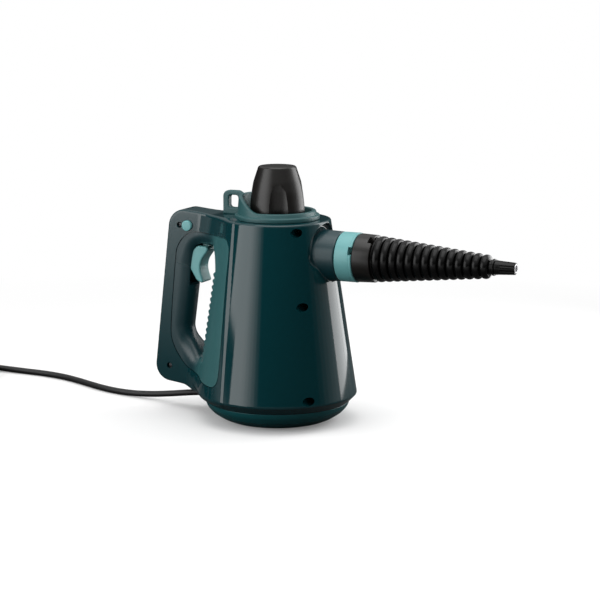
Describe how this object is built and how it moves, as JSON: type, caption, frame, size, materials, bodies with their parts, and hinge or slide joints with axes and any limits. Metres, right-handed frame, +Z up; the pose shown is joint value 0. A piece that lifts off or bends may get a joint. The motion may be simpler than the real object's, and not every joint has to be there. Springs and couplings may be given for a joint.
{
  "type": "handheld steam cleaner",
  "caption": "Handheld steam cleaner with a cone body, loop handle, screw-off safety cap, steam trigger, pull-off ribbed nozzle, and mains lead wound into a coil.",
  "frame": {"origin": "on the body's axis, at the underside of the foot pad", "axes": "+X forward along the nozzle, +Y to the left, away from the screws, +Z up through the cap"},
  "size_m": [0.7136, 0.194, 0.255],
  "materials": {
    "dark_teal": "glossy moulded plastic",
    "matt_teal": "matt moulded plastic",
    "turquoise": "satin moulded plastic",
    "cap_black": "satin moulded plastic",
    "nozzle_black": "satin heat-proof plastic",
    "rubber": "matt rubber",
    "cord_black": "soft plastic sheath",
    "steel": "bright steel",
    "brass": "machined brass",
    "aluminium": "cast aluminium",
    "felt": "mineral felt",
    "nylon": "natural moulded plastic",
    "silicone": "silicone seal",
    "wire_brown": "wire sleeve",
    "wire_blue": "wire sleeve",
    "wire_green": "wire sleeve"
  },
  "bodies": {
    "root": {"base_cover": "dark_teal", "boiler_bolt_1": "steel", "boiler_bolt_2": "steel", "boiler_bolt_3": "steel", "boiler_bolt_4": "steel", "boiler_gasket": "silicone", "boiler_lower": "aluminium", "boiler_upper": "aluminium", "cord": "cord_black", "cord_clamp": "nylon", "cord_coil": "cord_black", "cord_gland": "rubber", "cord_inside": "cord_black", "cord_tie": "rubber", "filler_neck": "brass", "foot_pad": "rubber", "heating_element": "steel", "housing_screw_1": "steel", "housing_screw_2": "steel", "housing_screw_3": "steel", "housing_screw_4": "steel", "housing_screw_5": "steel", "insulation_jacket": "felt", "nozzle_ring": "turquoise", "nozzle_socket": "nylon", "plug": "cord_black", "plug_pin_1": "steel", "plug_pin_2": "steel", "shell_left": "dark_teal", "shell_right": "dark_teal", "steam_inlet": "brass", "steam_pipe": "brass", "terminal_block": "nylon", "thermal_fuse": "steel", "thermostat": "nylon", "top_ring": "matt_teal", "trigger_pin": "steel", "trigger_spring": "steel", "valve_body": "brass", "valve_spring": "steel", "wire_earth": "wire_green", "wire_live": "wire_brown", "wire_neutral": "wire_blue"},
    "trigger": {"trigger": "turquoise"},
    "valve": {"push_rod": "nylon", "valve_stem": "brass"},
    "lock": {"lock_button": "turquoise"},
    "cap_seal": {"cap_gasket": "silicone"},
    "cap_riser": {"relief_spring": "steel"},
    "cap": {"cap_shell": "cap_black", "cap_plug": "nylon"},
    "relief": {"relief_poppet": "steel"},
    "nozzle_slider": {"nozzle_seal": "rubber"},
    "nozzle": {"nozzle_connector": "cap_black", "nozzle_cone": "nozzle_black", "nozzle_tip": "nozzle_black", "nozzle_insert": "steel"}
  },
  "joints": [
    {"name": "trigger_pull", "type": "hinge", "parent": "root", "child": "trigger", "pos_m": [-0.082, 0, 0.181], "axis": [0, 1, 0], "range_deg": [0, 10], "stiffness_Nm_per_rad": 0.4, "springref_deg": -5.73},
    {"name": "valve_push", "type": "slide", "parent": "root", "child": "valve", "axis": [1, 0, 0], "range_m": [0, 0.0021]},
    {"name": "lock_slide", "type": "slide", "parent": "root", "child": "lock", "axis": [0, 1, 0], "range_m": [0, 0.0028]},
    {"name": "cap_lift", "type": "slide", "parent": "root", "child": "cap_seal", "axis": [0, 0, 1], "range_m": [0, 0.06]},
    {"name": "cap_rise", "type": "slide", "parent": "cap_seal", "child": "cap_riser", "axis": [0, 0, 1], "range_m": [0, 0.0076]},
    {"name": "cap_turn", "type": "hinge", "parent": "cap_riser", "child": "cap", "pos_m": [0, 0, 0.23], "axis": [0, 0, 1], "range_deg": [0, 1080]},
    {"name": "relief_lift", "type": "slide", "parent": "cap_riser", "child": "relief", "axis": [0, 0, 1], "range_m": [0, 0.0015], "stiffness_N_per_m": 200},
    {"name": "nozzle_pull", "type": "slide", "parent": "root", "child": "nozzle_slider", "axis": [1, 0, 0], "range_m": [0, 0.045]},
    {"name": "nozzle_turn", "type": "hinge", "parent": "nozzle_slider", "child": "nozzle", "pos_m": [0.068, 0, 0.169], "axis": [1, 0, 0], "range_deg": [0, 40]}
  ],
  "couplings": [
    {"joint": "valve_push", "follows": "trigger_pull", "m_per_rad": 0.012},
    {"joint": "cap_rise", "follows": "cap_turn", "m_per_rad": 0.00039789}
  ]
}
